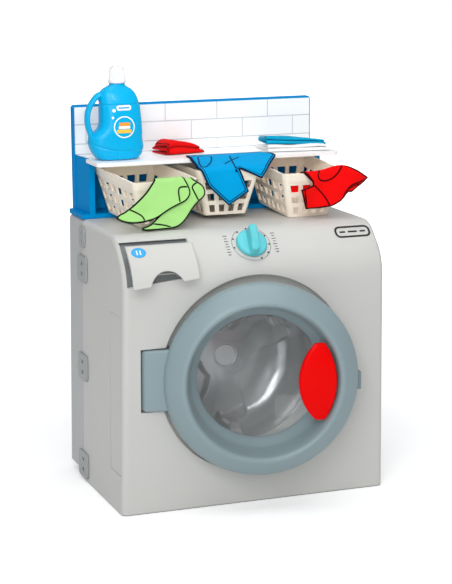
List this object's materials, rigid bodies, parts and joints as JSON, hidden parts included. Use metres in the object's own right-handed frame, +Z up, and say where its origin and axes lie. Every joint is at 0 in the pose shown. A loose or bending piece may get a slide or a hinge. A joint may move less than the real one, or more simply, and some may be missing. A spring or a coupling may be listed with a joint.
{
  "type": "toy washing machine",
  "caption": "Toy front-loading washing machine with a swinging round door, spinning drum, knob, soap drawer, tiled shelf, lift-out baskets, bottle and felt clothes.",
  "frame": {"origin": "centre of the cabinet's footprint (436 mm wide, 290 mm deep), on the floor under the glides", "axes": "+X to the right seen from the front, +Y to the back, +Z up; the door faces -Y"},
  "size_m": [0.4451, 0.3901, 0.6691],
  "materials": {
    "white_shell": "fine moulded satin",
    "grey_shell": "fine moulded satin",
    "glide": "satin",
    "clip": "satin",
    "ring": "semi-gloss",
    "ring_back": "satin",
    "window": "clear moulded plastic",
    "red": "gloss",
    "latch": "satin",
    "screw": "zinc plated",
    "pin": "ground",
    "drum": "semi-gloss",
    "bush": "self-lubricating plastic",
    "support": "satin",
    "knob": "semi-gloss",
    "switch": "satin",
    "case": "satin",
    "board": "solder mask",
    "speaker": "paper cone and pressed frame",
    "battery": "printed sleeve",
    "contact": "plated spring steel",
    "blue": "semi-gloss",
    "tile": "printed board",
    "shelf": "satin",
    "cream": "satin",
    "bottle": "semi-gloss",
    "cap": "semi-gloss",
    "cloth_red": "felt",
    "cloth_white": "felt",
    "cloth_blue": "felt",
    "felt_blue": "felt",
    "felt_green": "felt",
    "felt_red": "felt"
  },
  "bodies": {
    "cabinet": {"front_shell": "white_shell", "rear_shell": "grey_shell", "floor_glides": "glide", "snap_clips": "clip", "door_hinge_pin": "pin", "latch_catch": "latch", "drum_bush": "bush", "drum_support": "support", "support_screws": "screw", "rotary_switch": "switch", "sound_case": "case", "circuit_board": "board", "speaker": "speaker", "battery_box": "case", "batteries": "battery", "battery_contacts": "contact", "battery_door": "grey_shell", "battery_door_screw": "screw", "drawer_sleeve": "support", "blue_housing": "blue", "tile_panel": "tile", "shelf": "shelf", "shelf_screws": "screw", "folded_red_cloth": "cloth_red", "folded_white_cloth": "cloth_white", "folded_blue_cloth": "cloth_blue"},
    "door": {"door_frame_front": "ring", "door_frame_back": "ring_back", "door_window": "window", "door_handle": "red", "door_latch_tab": "latch", "door_screws": "screw"},
    "drum_assembly": {"drum": "drum", "drum_hub_cap": "drum", "drum_axle": "pin", "drum_screw": "screw", "axle_clip": "pin"},
    "knob": {"control_knob": "knob", "knob_spindle": "pin"},
    "drawer": {"detergent_drawer": "white_shell"},
    "left_basket": {"basket_left": "cream", "felt_sock_front": "felt_green", "felt_sock_back": "felt_green"},
    "middle_basket": {"basket_middle": "cream", "felt_shorts": "felt_blue"},
    "right_basket": {"basket_right": "cream", "felt_shirt": "felt_red"},
    "detergent_bottle": {"bottle": "bottle"},
    "cap": {"bottle_cap": "cap"}
  },
  "joints": [
    {"name": "door_hinge", "type": "hinge", "parent": "cabinet", "child": "door", "pos_m": [-0.172, -0.144, 0.2105], "axis": [0, 0, -1], "range_deg": [-12, 88]},
    {"name": "drum_spin", "type": "hinge", "parent": "cabinet", "child": "drum_assembly", "pos_m": [-0.0015, 0, 0.2065], "axis": [0, 1, 0], "continuous": true},
    {"name": "knob_turn", "type": "hinge", "parent": "cabinet", "child": "knob", "pos_m": [0.0005, -0.128, 0.405], "axis": [0, -0.7071, 0.7071], "continuous": true},
    {"name": "drawer_slide", "type": "slide", "parent": "cabinet", "child": "drawer", "axis": [0, -1, 0], "range_m": [-0.027, 0.04]},
    {"name": "left_basket_slide", "type": "slide", "parent": "cabinet", "child": "left_basket", "axis": [0, -1, 0], "range_m": [0, 0.25]},
    {"name": "middle_basket_slide", "type": "slide", "parent": "cabinet", "child": "middle_basket", "axis": [0, -0.9986, 0.0523], "range_m": [0, 0.28]},
    {"name": "right_basket_slide", "type": "slide", "parent": "cabinet", "child": "right_basket", "axis": [0, -1, 0], "range_m": [0, 0.25]},
    {"name": "bottle_lift", "type": "slide", "parent": "cabinet", "child": "detergent_bottle", "axis": [0, 0, 1], "range_m": [0, 0.15]},
    {"name": "cap_lift", "type": "slide", "parent": "detergent_bottle", "child": "cap", "axis": [0, 0, 1], "range_m": [0, 0.03]}
  ]
}
